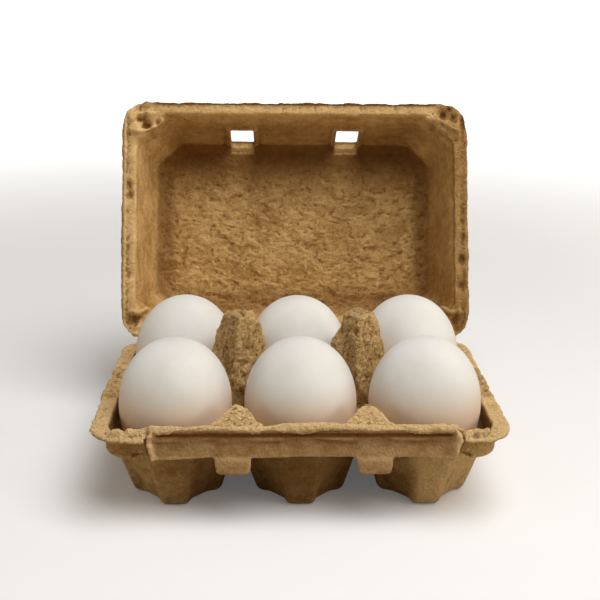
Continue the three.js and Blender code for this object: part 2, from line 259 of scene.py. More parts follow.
def add_sockets(tree, direction, sockets):
    for name, kind, value in sockets:
        socket = tree.interface.new_socket(name, in_out=direction, socket_type=kind)
        if value is not None:
            socket.default_value = value


def set_inputs(modifier, values):
    """Sets a Geometry Nodes modifier's inputs, given by name, through the sockets' identifiers."""
    for item in modifier.node_group.interface.items_tree:
        if item.item_type == "SOCKET" and item.in_out == "INPUT" and item.name in values:
            modifier[item.identifier] = values.pop(item.name)
    assert not values, f"the tree has no input called {sorted(values)}"


# Meshes

def link(name, mesh):
    piece = bpy.data.objects.new(name, mesh)
    bpy.context.scene.collection.objects.link(piece)
    return piece


def bake(piece):
    """Turns the piece and its modifiers into a plain mesh, and removes the modifiers."""
    depsgraph = bpy.context.evaluated_depsgraph_get()
    mesh = bpy.data.meshes.new_from_object(piece.evaluated_get(depsgraph))
    old = piece.data
    piece.modifiers.clear()
    piece.data = mesh
    mesh.name = piece.name
    bpy.data.meshes.remove(old)
    return piece


def merged_copy(node):
    """The CAD node's solid with its loose triangles joined, as a new bmesh."""
    work = bmesh.new()
    work.from_mesh(frame["nodes"][node].data)
    bmesh.ops.remove_doubles(work, verts=work.verts, dist=1e-6)
    return work


def vertex_vectors(mesh, name):
    flat = np.empty(len(mesh.vertices) * 3)
    mesh.vertices.foreach_get(name, flat)
    return flat.reshape(-1, 3)


def coordinates(mesh):
    return vertex_vectors(mesh, "co")


def normals_of(mesh):
    return vertex_vectors(mesh, "normal")


def move_to(mesh, place):
    mesh.vertices.foreach_set("co", place.ravel())
    mesh.update()


def store(mesh, name, values):
    """Keeps one number for each vertex as the attribute that the relief and the materials read."""
    attribute = mesh.attributes.get(name) or mesh.attributes.new(name, "FLOAT", "POINT")
    attribute.data.foreach_set("value", np.clip(values, 0, 1).astype(np.float32))


def ramp(values, low, high):
    """Smooth step from 0 at low to 1 at high. With low above high it falls instead."""
    t = np.clip((values - low) / (high - low), 0, 1)
    return t * t * (3 - 2 * t)


def relaxed(mesh, rounds):
    """The vertices' places after each has moved to the middle of its neighbours, that many times."""
    spread = coordinates(mesh)
    ends = np.empty(len(mesh.edges) * 2, dtype=np.int64)
    mesh.edges.foreach_get("vertices", ends)
    ends = ends.reshape(-1, 2)
    count = np.maximum(np.bincount(ends.ravel(), minlength=len(spread)), 1)
    for _ in range(rounds):
        columns = [
            np.bincount(ends[:, 0], spread[ends[:, 1], axis], len(spread))
            + np.bincount(ends[:, 1], spread[ends[:, 0], axis], len(spread))
            for axis in range(3)
        ]
        spread = np.stack(columns, 1) / count[:, None]
    return spread


def soften_where(mesh, share, rounds):
    """Rounds the skin's edges and hollows off where share is 1, and leaves it alone where share is 0."""
    place = coordinates(mesh)
    place += (relaxed(mesh, rounds) - place) * share[:, None]
    move_to(mesh, place)


def convexity(mesh, rounds, size):
    """How far each point stands out of its surroundings, from -1 in creases to 1 on edges of that size."""
    out = np.einsum("ij,ij->i", coordinates(mesh) - relaxed(mesh, rounds), normals_of(mesh))
    return np.clip(out / size, -1, 1)


def lumpy_rope(work, points, radius, lumps, seed, closed=False):
    """Adds a rope of pulp along the points, with a thickness that wanders between its lumps."""
    draw = np.random.default_rng(seed)
    rings = []
    count = len(points)
    swell = 1 + lumps * (draw.random(count) - 0.5)
    smooth = swell if count < 3 else (np.roll(swell, 1) + swell + np.roll(swell, -1)) / 3
    for index, point in enumerate(points):
        if closed:
            before, after = points[index - 1], points[(index + 1) % count]
        else:
            before, after = points[max(index - 1, 0)], points[min(index + 1, count - 1)]
        along = (Vector(after) - Vector(before)).normalized()
        side = along.cross(Vector((0.3, 0.2, 1)) if abs(along.z) < 0.9 else Vector((1, 0, 0))).normalized()
        up = side.cross(along)
        r = radius * float(smooth[index])
        ring = []
        for step in range(ROPE_SIDES):
            turn = math.tau * step / ROPE_SIDES
            ring.append(work.verts.new(Vector(point) + (side * math.cos(turn) + up * math.sin(turn)) * r))
        rings.append(ring)
    pairs = list(zip(rings, rings[1:])) + ([(rings[-1], rings[0])] if closed else [])
    for first, second in pairs:
        for step in range(ROPE_SIDES):
            following = (step + 1) % ROPE_SIDES
            work.faces.new((first[step], second[step], second[following], first[following]))
    if not closed:
        work.faces.new(rings[0])
        work.faces.new(reversed(rings[-1]))
    bmesh.ops.recalc_face_normals(work, faces=work.faces)


def finish_skin(name, work, voxel, smoothing):
    """One closed, softened skin round everything in work, with edges as round as pressed pulp has them."""
    mesh = bpy.data.meshes.new(name)
    work.to_mesh(mesh)
    work.free()
    piece = link(name, mesh)
    remesh = piece.modifiers.new("remesh", "REMESH")
    remesh.mode = "VOXEL"
    remesh.voxel_size = voxel
    remesh.use_smooth_shade = True
    soften = piece.modifiers.new("soften", "SMOOTH")
    soften.factor = 0.5
    soften.iterations = smoothing
    return bake(piece)


# Shader groups

def grain_group():
    """Fine pulp surface: fibres, the print of the forming screen, and flecks, from Object coordinates."""
    tree = bpy.data.node_groups.new("pulp_grain", "ShaderNodeTree")
    add_sockets(tree, "INPUT", [
        ("Place", "NodeSocketVector", None),
        ("Grain Size", "NodeSocketFloat", 1.0),
        ("Screen", "NodeSocketFloat", 0.3),
        ("Leather", "NodeSocketFloat", 0.0),
        ("Fleck Share", "NodeSocketFloat", 0.3),
    ])
    add_sockets(tree, "OUTPUT", [
        ("Height", "NodeSocketFloat", None),
        ("Mottle", "NodeSocketFloat", None),
        ("Speckle", "NodeSocketFloat", None),
        ("Valley Shade", "NodeSocketFloat", None),
        ("Fleck", "NodeSocketFloat", None),
    ])
    build = Tree(tree)
    given = build.node("NodeGroupInput").outputs
    place = build.vector("SCALE", given["Place"], given["Grain Size"])
    fine = build.noise(place, 1500, 3, 0.7)
    grit = build.noise(place, 850, 2, 0.6)
    fibres = build.noise(build.vector("MULTIPLY", place, (1, 1, 0.35)), 800, 3, 0.6, 1.5)
    pits = build.remap(build.noise(place, 620, 2, 0.5), 0.28, 0.4, -0.6, 0)
    axes = build.node("ShaderNodeSeparateXYZ", inputs={"Vector": place}).outputs
    weave = [build.math("SINE", build.math("MULTIPLY", axes[name], math.tau / SCREEN_PITCH)) for name in "XZ"]
    patchy = build.remap(build.noise(place, 160, 2, 0.5), 0.35, 0.65)
    screen = build.math("MULTIPLY", build.math("MULTIPLY", *weave), given["Screen"])
    screen = build.math("MULTIPLY", screen, patchy)
    lumps = build.noise(place, 520, 2, 0.55)
    wrinkles = build.noise(build.vector("MULTIPLY", place, (0.6, 1, 1)), 300, 2, 0.5, 0.3)
    leather = build.math("MULTIPLY", wrinkles, given["Leather"])
    height = build.weighted(
        (fine, 1.3), (fibres, 0.4), (grit, 1.4), (pits, 1), (screen, 0.25), (lumps, 1.5), (leather, 2.6),
    )
    # Painted shade in the valleys between the leather-like wrinkles
    valley_shade = build.math("MULTIPLY", build.remap(wrinkles, 0.46, 0.36), given["Leather"])
    broad = build.noise(place, 70, 4, 0.6)
    middle = build.noise(place, 330, 3, 0.6)
    mottle = build.weighted((broad, 0.45), (middle, 0.35), (fine, 0.2))
    cells = build.node("ShaderNodeTexVoronoi", inputs={"Vector": place, "Scale": 420.0, "Randomness": 1.0})
    dots = build.remap(cells.outputs["Distance"], 0.2, 0.08)
    chosen = build.node("ShaderNodeSeparateColor", inputs={"Color": cells.outputs["Color"]}).outputs[0]
    picked = build.math("LESS_THAN", chosen, build.math("MULTIPLY", given["Fleck Share"], 0.2))
    build.node("NodeGroupOutput", inputs={
        "Height": height,
        "Mottle": mottle,
        "Speckle": build.math("MULTIPLY", build.math("ADD", fine, grit), 0.5),
        "Valley Shade": valley_shade,
        "Fleck": build.math("MULTIPLY", dots, picked),
    })
    return tree


def wear_and_shade_group():
    """Lighter torn edges, partly rubbed pulp and partly painted highlight, and painted shade in creases, from
    the convexity that the mesh carries.
    """
    tree = bpy.data.node_groups.new("edge_wear_and_shade", "ShaderNodeTree")
    add_sockets(tree, "INPUT", [
        ("Place", "NodeSocketVector", None),
        ("Convexity", "NodeSocketFloat", 0.5),
        ("Breakup", "NodeSocketFloat", 0.5),
    ])
    add_sockets(tree, "OUTPUT", [("Worn And Highlight", "NodeSocketFloat", None), ("Crease Shade", "NodeSocketFloat", None)])
    build = Tree(tree)
    given = build.node("NodeGroupInput").outputs
    noise = build.math("SUBTRACT", build.noise(given["Place"], 600, 3, 0.6), 0.5)
    broken = build.math("ADD", given["Convexity"], build.math("MULTIPLY", noise, given["Breakup"]))
    worn_and_lit = build.remap(broken, 0.56, 0.85)
    crease_shade = build.remap(broken, 0.46, 0.2)
    build.node("NodeGroupOutput", inputs={"Worn And Highlight": worn_and_lit, "Crease Shade": crease_shade})
    return tree


def crack_group():
    """Courses of short cracks, where the mesh asks for them."""
    tree = bpy.data.node_groups.new("pulp_cracks", "ShaderNodeTree")
    add_sockets(tree, "INPUT", [("Place", "NodeSocketVector", None), ("Cracked", "NodeSocketFloat", 0.0)])
    add_sockets(tree, "OUTPUT", [("Crack", "NodeSocketFloat", None)])
    build = Tree(tree)
    given = build.node("NodeGroupInput").outputs
    crack = build.remap(crack_distance(build, given["Place"]), 0.12, 0.02)
    broken = build.remap(build.noise(given["Place"], 260, 2, 0.5), 0.55, 0.64)
    crack = build.math("MULTIPLY", build.math("MULTIPLY", crack, broken), given["Cracked"])
    build.node("NodeGroupOutput", inputs={"Crack": crack})
    return tree


def new_material(name):
    material = bpy.data.materials.new(name)
    material.use_nodes = True
    material.node_tree.nodes.clear()
    build = Tree(material.node_tree)
    shader = build.node("ShaderNodeBsdfPrincipled")
    output = build.node("ShaderNodeOutputMaterial")
    material.node_tree.links.new(shader.outputs[0], output.inputs["Surface"])
    return material, build, shader


def attribute(build, name):
    return build.node("ShaderNodeAttribute", {"attribute_name": name}).outputs["Fac"]


def pulp_material(name, groups, tint, grain_size, screen, speckle, bump):
    """Pressed pulp: mottled brown with flecks and cracks, lighter on torn edges, partly rubbed pulp and
    partly painted highlight, with painted shade in creases and shaded places.
    """
    grain, wear_and_shade, cracks = groups
    material, build, shader = new_material(name)
    place = build.node("ShaderNodeTexCoord").outputs["Object"]
    surface = build.node("ShaderNodeGroup", {"node_tree": grain}, {
        "Place": place,
        "Grain Size": grain_size,
        "Screen": build.math("MULTIPLY", attribute(build, "screened"), screen),
        "Leather": attribute(build, "leathery"),
        "Fleck Share": 0.3,
    }).outputs
    worn_and_lit = build.node("ShaderNodeGroup", {"node_tree": wear_and_shade}, {
        "Place": place,
        "Convexity": attribute(build, "convexity"),
        "Breakup": 0.5,
    }).outputs
    crack = build.node("ShaderNodeGroup", {"node_tree": cracks}, {
        "Place": place,
        "Cracked": attribute(build, "cracked"),
    }).outputs["Crack"]
    mottled = build.remap(surface["Mottle"], 0.36, 0.64)
    colour = build.mix_colour(mottled, PULP_MID, PULP_LIGHT)
    # The first mix is painted highlight, with lighter torn pulp on the flap's ends; the edge mix is partly
    # rubbed pulp and partly painted highlight; the crease and wrinkle mixes are painted shade; flecks and
    # cracks are the pulp's own
    for share, strength, paint in (
        (attribute(build, "highlight_and_torn"), 0.85, PULP_PALE),
        (worn_and_lit["Worn And Highlight"], 0.6, PULP_PALE),
        (worn_and_lit["Crease Shade"], 0.6, PULP_DARK),
        (surface["Valley Shade"], 0.1, PULP_DARK),
        (surface["Fleck"], 0.8, FLECK_DARK),
        (crack, 0.7, PULP_DARK),
    ):
        colour = build.mix_colour(build.math("MULTIPLY", share, strength), colour, paint)
    # Painted shade: dark pulp mixed in where the mesh's shade attribute marks shaded places
    colour = build.mix_colour(attribute(build, "painted_shade"), colour, PULP_DARK)
    speckled = build.remap(surface["Speckle"], 0.34, 0.66, 1 - speckle, 1 + 0.6 * speckle)
    colour = build.mix_colour(1.0, colour, speckled, "MULTIPLY")
    colour = build.mix_colour(1.0, colour, tint, "MULTIPLY")
    build.feed(shader.inputs["Base Color"], colour)
    build.feed(shader.inputs["Roughness"], build.remap(surface["Mottle"], 0.3, 0.7, 0.98, 0.86))
    shader.inputs["Specular IOR Level"].default_value = 0.1
    bumped = build.node("ShaderNodeBump", inputs={
        "Strength": bump,
        "Distance": 0.8 * mm,
        "Height": build.math("SUBTRACT", surface["Height"], build.math("MULTIPLY", crack, 1.6)),
    })
    build.feed(shader.inputs["Normal"], bumped.outputs[0])
    return material


def shell_material():
    """White eggshell: a soft satin gloss over fine pores, a little warmer in places, with the pulp's
    reflected light painted on towards the bottom.
    """
    material, build, shader = new_material("white_eggshell")
    place = build.node("ShaderNodeTexCoord").outputs["Object"]
    cloud = build.remap(build.noise(place, 55, 3, 0.55), 0.35, 0.7)
    pores = build.noise(place, 2600, 2, 0.5)
    grains = build.noise(place, 900, 3, 0.6)
    colour = build.mix_colour(cloud, SHELL_WHITE, SHELL_WARM)
    height = build.node("ShaderNodeSeparateXYZ", inputs={"Vector": place}).outputs[2]
    # Painted reflection of the pulp's warm light on the shells' lower part
    colour = build.mix_colour(build.remap(height, SHELL_PAINTED_BOUNCE_FROM, SHELL_PAINTED_BOUNCE_TO, 0, 0.9), colour, SHELL_PAINTED_BOUNCE)
    build.feed(shader.inputs["Base Color"], colour)
    build.feed(shader.inputs["Roughness"], build.remap(grains, 0.3, 0.7, 0.6, 0.74))
    shader.inputs["Specular IOR Level"].default_value = 0.25
    shader.inputs["Subsurface Weight"].default_value = 0.12
    shader.inputs["Subsurface Radius"].default_value = (0.9, 0.6, 0.4)
    shader.inputs["Subsurface Scale"].default_value = 1.5 * mm
    skin = build.weighted((pores, 0.5), (grains, 1))
    bumped = build.node("ShaderNodeBump", inputs={"Strength": 0.3, "Distance": 0.15 * mm, "Height": skin})
    build.feed(shader.inputs["Normal"], bumped.outputs[0])
    return material


# Relief of the pulp

def room_to_eggs(place):
    """How far each point is from the nearest egg, measured across the egg."""
    room = np.full(len(place), 1.0)
    for node in EGG_NAMES:
        low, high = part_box(node)
        row = -1 if "front" in node else 1
        tall = (high.z - low.z) / 2
        offset = place - np.array(((low.x + high.x) / 2, TRAY_Y + row * ROW_Y, low.z))
        lean = row * EGG_LEAN
        along = offset[:, 2] * math.cos(lean) + offset[:, 1] * math.sin(lean)
        across = offset[:, 1] * math.cos(lean) - offset[:, 2] * math.sin(lean)
        up = along / tall - 1
        out = np.hypot(offset[:, 0], across) / (EGG_RADIUS * (1 + EGG_BLUNTNESS * np.clip(up, -1, 1)))
        room = np.minimum(room, (np.hypot(out, up) - 1) * EGG_RADIUS)
    return room


RELIEF_KINDS = ("free", "crumpled", "grainy", "pebbled", "torn", "cracked", "grooved")


def relief_tree():
    """Raises the skin along its normals: long waves all over, rougher kinds where attributes ask."""
    tree = bpy.data.node_groups.new("pulp_relief", "GeometryNodeTree")
    add_sockets(tree, "INPUT", [
        ("Geometry", "NodeSocketGeometry", None),
        ("Wave Height", "NodeSocketFloat", 0.3 * mm),
        ("Wave Size", "NodeSocketFloat", 14 * mm),
        ("Crumple Height", "NodeSocketFloat", 0.8 * mm),
        ("Crumple Size", "NodeSocketFloat", 4.5 * mm),
        ("Grain Height", "NodeSocketFloat", 0.8 * mm),
        ("Grain Size", "NodeSocketFloat", 2.0 * mm),
        ("Pebble Height", "NodeSocketFloat", 2.4 * mm),
        ("Pebble Size", "NodeSocketFloat", 5.5 * mm),
        ("Pebble Stretch", "NodeSocketVector", (0.65, 1, 1)),
        ("Fringe Height", "NodeSocketFloat", 1.2 * mm),
        ("Fringe Size", "NodeSocketFloat", 3.4 * mm),
        ("Crack Depth", "NodeSocketFloat", 0.45 * mm),
        ("Groove Depth", "NodeSocketFloat", 0.9 * mm),
        ("Seed Place", "NodeSocketVector", None),
        ("Material", "NodeSocketMaterial", None),
    ])
    add_sockets(tree, "OUTPUT", [("Geometry", "NodeSocketGeometry", None)])
    build = Tree(tree)
    given = build.node("NodeGroupInput").outputs
    field = {}
    for name in RELIEF_KINDS:
        node = build.node("GeometryNodeInputNamedAttribute", {"data_type": "FLOAT"}, {"Name": name})
        field[name] = node.outputs[0]
    place = build.vector("ADD", build.node("GeometryNodeInputPosition").outputs[0], given["Seed Place"])

    def swing(size, detail, roughness, distortion, stretch=(1, 1, 1)):
        drawn = build.vector("MULTIPLY", place, stretch)
        value = build.noise(drawn, build.math("DIVIDE", 1.0, size), detail, roughness, distortion)
        return build.math("MULTIPLY", build.math("SUBTRACT", value, 0.5), 2.0)

    def part(value, height, kind):
        return build.math("MULTIPLY", value, build.math("MULTIPLY", height, field[kind]))

    wave = build.math("MULTIPLY", swing(given["Wave Size"], 2, 0.5, 0), given["Wave Height"])
    crumple = swing(given["Crumple Size"], 4, 0.55, 0.6, (1, 1, 0.5))
    crumple = part(crumple, given["Crumple Height"], "crumpled")
    grain = part(swing(given["Grain Size"], 2, 0.6, 0.3), given["Grain Height"], "grainy")

    # Pressed leather-like lumps: a plain swing with narrow crests where a second one crosses zero
    lumps = swing(given["Pebble Size"], 2, 0.5, 0.5, given["Pebble Stretch"])
    crest_size = build.math("MULTIPLY", given["Pebble Size"], 1.4)
    crests = swing(crest_size, 2, 0.5, 0.8, given["Pebble Stretch"])
    crests = build.remap(build.math("ABSOLUTE", crests), 0, 0.2, 0.2, 0)
    pebble = part(build.math("ADD", lumps, crests), given["Pebble Height"], "pebbled")
    fringe = part(swing(given["Fringe Size"], 3, 0.6, 0.5), given["Fringe Height"], "torn")

    # Courses of short cracks, as on dried pulp that was stretched over a ridge
    broken = build.remap(swing(5 * mm, 2, 0.5, 0), 0.02, 0.3)
    cracks = build.math("MULTIPLY", build.remap(crack_distance(build, place), 0.03, 0.2, -1, 0), broken)
    cracks = part(cracks, given["Crack Depth"], "cracked")

    saw = build.math("ADD", build.math("MULTIPLY", swing(3.2 * mm, 3, 0.6, 0.4), 1.2), -0.55)
    groove = part(saw, given["Groove Depth"], "grooved")

    rise = wave
    for extra in (crumple, grain, pebble, fringe, cracks, groove):
        rise = build.math("ADD", rise, extra)
    rise = build.math("MULTIPLY", rise, field["free"])
    offset = build.vector("SCALE", build.node("GeometryNodeInputNormal").outputs[0], rise)
    moved = build.node("GeometryNodeSetPosition", inputs={"Geometry": given["Geometry"], "Offset": offset})
    end_dressed(build, moved.outputs[0], given["Material"])
    return tree


def raise_relief(piece, tree, material, kinds, sizes):
    """Applies the relief, thins the mesh to its budget and stores the convexity that the material reads."""
    plain = np.zeros(len(piece.data.vertices))
    for name in RELIEF_KINDS:
        store(piece.data, name, kinds.get(name, plain))
    modifier = piece.modifiers.new("relief", "NODES")
    modifier.node_group = tree
    set_inputs(modifier, {"Material": material, **sizes})
    bake(piece)
    faces = sum(len(polygon.vertices) - 2 for polygon in piece.data.polygons)
    if faces > PULP_TRIANGLES:
        thin = piece.modifiers.new("thin", "DECIMATE")
        thin.ratio = PULP_TRIANGLES / faces
        bake(piece)
    for name in RELIEF_KINDS:
        if name != "cracked":
            piece.data.attributes.remove(piece.data.attributes[name])
    store(piece.data, "convexity", 0.5 + 0.5 * convexity(piece.data, 4, 0.45 * mm))
    piece.data.shade_smooth()


# Tray

def rounded_rim(half_x, front, back, radius, z, step):
    """Points round a rectangle with round corners, counter-clockwise from above."""
    points = []
    corners = [
        (half_x - radius, front + radius, -90),
        (half_x - radius, back - radius, 0),
        (-half_x + radius, back - radius, 90),
        (-half_x + radius, front + radius, 180),
    ]
    for x, y, start in corners:
        for turn in range(0, 91, 15):
            angle = math.radians(start + turn)
            points.append(Vector((x + radius * math.cos(angle), y + radius * math.sin(angle), z)))
    even = []
    for index, point in enumerate(points):
        following = points[(index + 1) % len(points)]
        parts = max(1, round((following - point).length / step))
        even += [point.lerp(following, part / parts) for part in range(parts)]
    return even


def wandering_line(start, end, steps, stray, seed):
    """Points on a nearly straight line, each of them off it by about stray."""
    draw = np.random.default_rng(seed)
    line = [Vector(start).lerp(Vector(end), share) for share in np.linspace(0, 1, steps)]
    return [point + Vector(draw.normal(0, stray, 3)) for point in line]


def add_tray_ropes(work):
    """The flange's torn edge, the locking flap's fold, the belt's lower edge and the hinge strip."""
    left, right = flap_low.x, flap_high.x
    front, back = tray_low.y + 0.9 * mm, tray_high.y - 1.3 * mm
    rim = rounded_rim(FLANGE_HALF_X - 0.9 * mm, front, back, FLANGE_CORNER, RIM_Z - 0.9 * mm, 2.5 * mm)
    behind = tray_low.y + 2 * mm
    rim = [p for p in rim if not (p.y < behind and left - 2 * mm < p.x < right + 2 * mm)]
    gap = next(i for i in range(len(rim)) if (rim[i] - rim[i - 1]).length > 20 * mm)
    rim = rim[gap:] + rim[:gap]
    lumpy_rope(work, rim, FLANGE_ROPE, lumps=0.8, seed=3)

    # The rolled fold that the locking flap hangs from, and the torn lumps beside its ends
    ridge_y = FLAP_HINGE.y
    ridge_z = FLAP_HINGE.z - 0.2 * mm
    ends = ((left - 0.6 * mm, ridge_y, ridge_z), (right + 0.6 * mm, ridge_y, ridge_z))
    ridge = wandering_line(*ends, steps=30, stray=0.2 * mm, seed=11)
    for point in ridge:
        point.z += 0.35 * mm * (math.sin(point.x / (7 * mm)) + math.sin(point.x / (16 * mm) + 1))
    lumpy_rope(work, ridge, RIDGE_ROPE, lumps=1.1, seed=5)
    beside_left = (left - 13 * mm, left - 1.5 * mm, 41)
    beside_right = (right + 1.5 * mm, right + 12 * mm, 43)
    for start, end, seed in (beside_left, beside_right):
        ends = ((start, ridge_y + 0.6 * mm, RIM_Z + 0.3 * mm), (end, ridge_y, RIM_Z + 1.5 * mm))
        torn = wandering_line(*ends, steps=7, stray=0.5 * mm, seed=seed)
        lumpy_rope(work, torn, RIDGE_ROPE, lumps=1.0, seed=seed + 1)

    # The belt's lower edge, which hangs deepest at the four corners
    for height in BELT_HEIGHTS:
        for inset in BELT_INSETS:
            front, back = TRAY_Y + BELT_FRONT + inset, TRAY_Y + BELT_BACK - inset
            belt = rounded_rim(BELT_HALF_X - inset, front, back, BELT_CORNER, height, 2.5 * mm)
            for side_x, side_y in ((-1, -1), (1, -1), (1, 1), (-1, 1)):
                corner = [p for p in belt if p.x * side_x > 59 * mm and (p.y - TRAY_Y) * side_y > 33 * mm]
                corner.sort(key=lambda p: p.x * side_x - (p.y - TRAY_Y) * side_y)
                lumpy_rope(work, corner, BELT_ROPE, lumps=0.15, seed=61)
    hinge = [Vector((x, LID_HINGE.y, LID_HINGE.z - 0.2 * mm)) for x in np.linspace(-0.07, 0.07, 40)]
    lumpy_rope(work, hinge, HINGE_ROPE, lumps=0.3, seed=8)


def shade_tray(mesh, x, z, normals, below, post):
    """Paints shade: darkens the cups' outer sides, the posts a little, and the inside of the belt."""
    belt_inside_shade = ramp(-normals[:, 0] * np.sign(x), 0.3, 0.7) * (np.abs(x) > 64 * mm)
    belt_inside_shade *= ramp(z, 26 * mm, 29 * mm) * ramp(z, RIM_Z + 0.5 * mm, RIM_Z - 1.5 * mm)
    outer_cup = ramp(np.abs(x), 20 * mm, 30 * mm)
    # Painted shade that depends on which way the cups' sides face, and less of it on the right cup
    cup_shade = 0.62 - 0.28 * outer_cup - 0.5 * outer_cup * normals[:, 0] * np.sign(x)
    cup_shade -= 0.34 * ramp(x, 20 * mm, 40 * mm)
    cup_shade = np.clip(cup_shade, 0, 0.8) * below * ramp(normals[:, 2], 0.3, -0.1)
    painted_shade = np.maximum(cup_shade, 0.1 * post)
    store(mesh, "painted_shade", np.maximum(painted_shade, 0.75 * belt_inside_shade))


def make_tray(tree, material):
    work = merged_copy("tray")
    add_tray_ropes(work)
    piece = finish_skin("tray_pulp", work, PULP_VOXEL, smoothing=2)

    mesh = piece.data
    place = coordinates(mesh)
    z = place[:, 2]
    soften_where(mesh, 1 - ramp(z, 18 * mm, 24 * mm), rounds=9)
    posts = ramp(z, 39 * mm, 45 * mm) * (np.abs(place[:, 1] - TRAY_Y) < POSTS_HALF_Y)
    soften_where(mesh, posts, rounds=5)

    place = coordinates(mesh)
    x, y, z = place[:, 0], place[:, 1] - TRAY_Y, place[:, 2]
    normals = normals_of(mesh)
    up = normals[:, 2]
    facing_up = ramp(up, -0.2, 0.15)
    above = ramp(z, RIM_Z - 2.5 * mm, RIM_Z - 0.5 * mm)
    between_rows = np.abs(y) < POSTS_HALF_Y
    post = ramp(z, 27 * mm, 38 * mm) * between_rows
    cap = ramp(z, 60.5 * mm, 63 * mm)
    peak = ramp(z, RIM_Z + 0.8 * mm, RIM_Z + 3 * mm) * ~between_rows * (y > -48.6 * mm)
    roof = peak * ramp(up, 0.25, 0.5)
    rim_x = ramp(np.abs(x), FLANGE_HALF_X - 4 * mm, FLANGE_HALF_X - 1 * mm)
    rim_y = np.maximum(0.8 * ramp(y, -49 * mm, -51 * mm), ramp(y, 48 * mm, 50 * mm))
    rim_edge = np.maximum(rim_x, rim_y) * ramp(z, RIM_Z - 5 * mm, RIM_Z - 2 * mm)
    near_corner = ramp(np.abs(x), 54 * mm, 62 * mm) * ramp(y, -34 * mm, -42 * mm)
    below = 1 - ramp(z, 26 * mm, 33 * mm)
    store(mesh, "screened", below)
    shade_tray(mesh, x, z, normals, below, post)
    # Painted highlight: the flange's upward faces, the peaks and the right cup's outer sides are lighter,
    # where the lamps fall on them
    right_cup_highlight = 0.9 * below * ramp(x, 24 * mm, 42 * mm) * ramp(normals[:, 0], -0.4, 0.1)
    store(mesh, "highlight_and_torn", np.maximum(np.maximum(facing_up * above * (1 - 0.9 * post), peak), right_cup_highlight))
    crumpled_rim = facing_up * above * (0.3 + 0.25 * near_corner - 0.2 * peak)
    raise_relief(piece, tree, material, {
        "free": ramp(z, 0.2 * mm, 2.5 * mm) * ramp(room_to_eggs(place), 0.3 * mm, 2 * mm),
        "crumpled": 0.06 + 0.94 * np.maximum(crumpled_rim, post),
        "grainy": np.maximum(facing_up * above * 0.3 * (1 - peak), np.maximum(post * 0.8, cap)),
        "pebbled": 0.6 * post * (1 - cap),
        "torn": np.maximum(rim_edge * 0.7, cap * 0.9),
        "cracked": roof,
    }, {
        "Crumple Height": 2.7 * mm,
        "Crumple Size": 7 * mm,
        "Grain Size": 1.4 * mm,
        "Pebble Height": 1.9 * mm,
        "Pebble Size": 5 * mm,
        "Pebble Stretch": (1, 1, 0.5),
    })
    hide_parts("tray")
    return piece


# Lid

ALONG_LID = np.array((0, math.sin(LID_LEAN), math.cos(LID_LEAN)))
INTO_LID = np.array((0, math.cos(LID_LEAN), -math.sin(LID_LEAN)))


def lid_frame(place):
    """The points in the lid's own coordinates: x along the hinge, t away from it, s into the lid."""
    offset = place - np.array(LID_HINGE)
    return offset[:, 0], offset @ ALONG_LID, offset @ INTO_LID


def lid_point(x, t, s):
    return LID_HINGE + Vector((
        x,
        t * math.sin(LID_LEAN) + s * math.cos(LID_LEAN),
        t * math.cos(LID_LEAN) - s * math.sin(LID_LEAN),
    ))


# Dents in the lid's rim and corner webs: place along the hinge and away from it, radius and depth, mm
LID_DENTS = (
    (-71.8, 101.6, 2.2, 2.2), (-68.9, 98.6, 2.4, 3.2), (-65.8, 94.6, 2.2, 3.2), (-72.5, 95.2, 2.6, -1.6),
    (-60.0, 101.5, 4.0, 1.2), (-63.6, 99.8, 2.2, 2.0), (73.4, 102.6, 1.8, 2.0), (66.0, 95.0, 2.2, 2.4),
    (68.6, 104.2, 2.2, 3.4), (64.0, 98.5, 3.0, 2.4), (71.5, 98.0, 3.0, -1.5), (74.0, 92.0, 2.4, 1.2),
    (-76.4, 70.5, 2.2, 1.6), (-76.2, 66.0, 2.2, 2.0), (-75.6, 84.0, 2.6, -0.9), (-75.9, 30.0, 2.4, 1.2),
    (-74.2, 8.5, 3.2, 2.6), (-67.5, 9.5, 3.4, 1.6), (73.2, 8.6, 3.4, 2.8), (67.0, 11.0, 3.6, 1.6),
    (76.6, 36.6, 2.2, 2.0), (75.8, 50.5, 2.8, -1.3), (76.4, 24.5, 2.4, 2.0), (75.9, 77.0, 2.6, -0.9),
)

# Folds that stand up beside the dents: points along the hinge, away from it and into the lid, mm
LID_FOLDS = (
    ((-76.0, 96.0, 0.4), (-72.0, 95.6, -0.4), (-68.5, 96.8, -0.2), (-64.5, 98.6, 1.2), (-61.0, 102.0, 1.6)),
    ((-75.5, 101.0, 0.4), (-73.5, 103.2, -0.3), (-70.0, 104.0, -0.2), (-65.5, 104.0, 0.6)),
    ((76.2, 97.0, 0.4), (72.5, 97.4, -0.4), (69.0, 100.6, 0.2), (65.0, 102.4, 1.0), (60.5, 103.0, 1.4)),
    ((-75.8, 12.5, 0.4), (-71.5, 12.0, -0.3), (-67.5, 14.0, 1.0)),
    ((75.8, 13.0, 0.4), (71.0, 12.4, -0.3), (67.0, 14.6, 1.0)),
)


def dents(x, t):
    """Each dent's depth in mm, and how far each point is from its middle, in the dent's radii."""
    for centre_x, centre_t, radius, deep in LID_DENTS:
        yield deep, np.hypot(x - centre_x * mm, t - centre_t * mm) / (radius * mm)


def press_dents(mesh):
    """Presses the dents into both faces of the lid's rim alike, so that its wall keeps its thickness."""
    place = coordinates(mesh)
    x, t, s = lid_frame(place)
    depth = np.zeros(len(place))
    for deep, away in dents(x, t):
        depth += deep * mm * np.exp(-away * away)
    depth *= ramp(s, 14 * mm, 5 * mm)
    place += depth[:, None] * INTO_LID
    move_to(mesh, place)


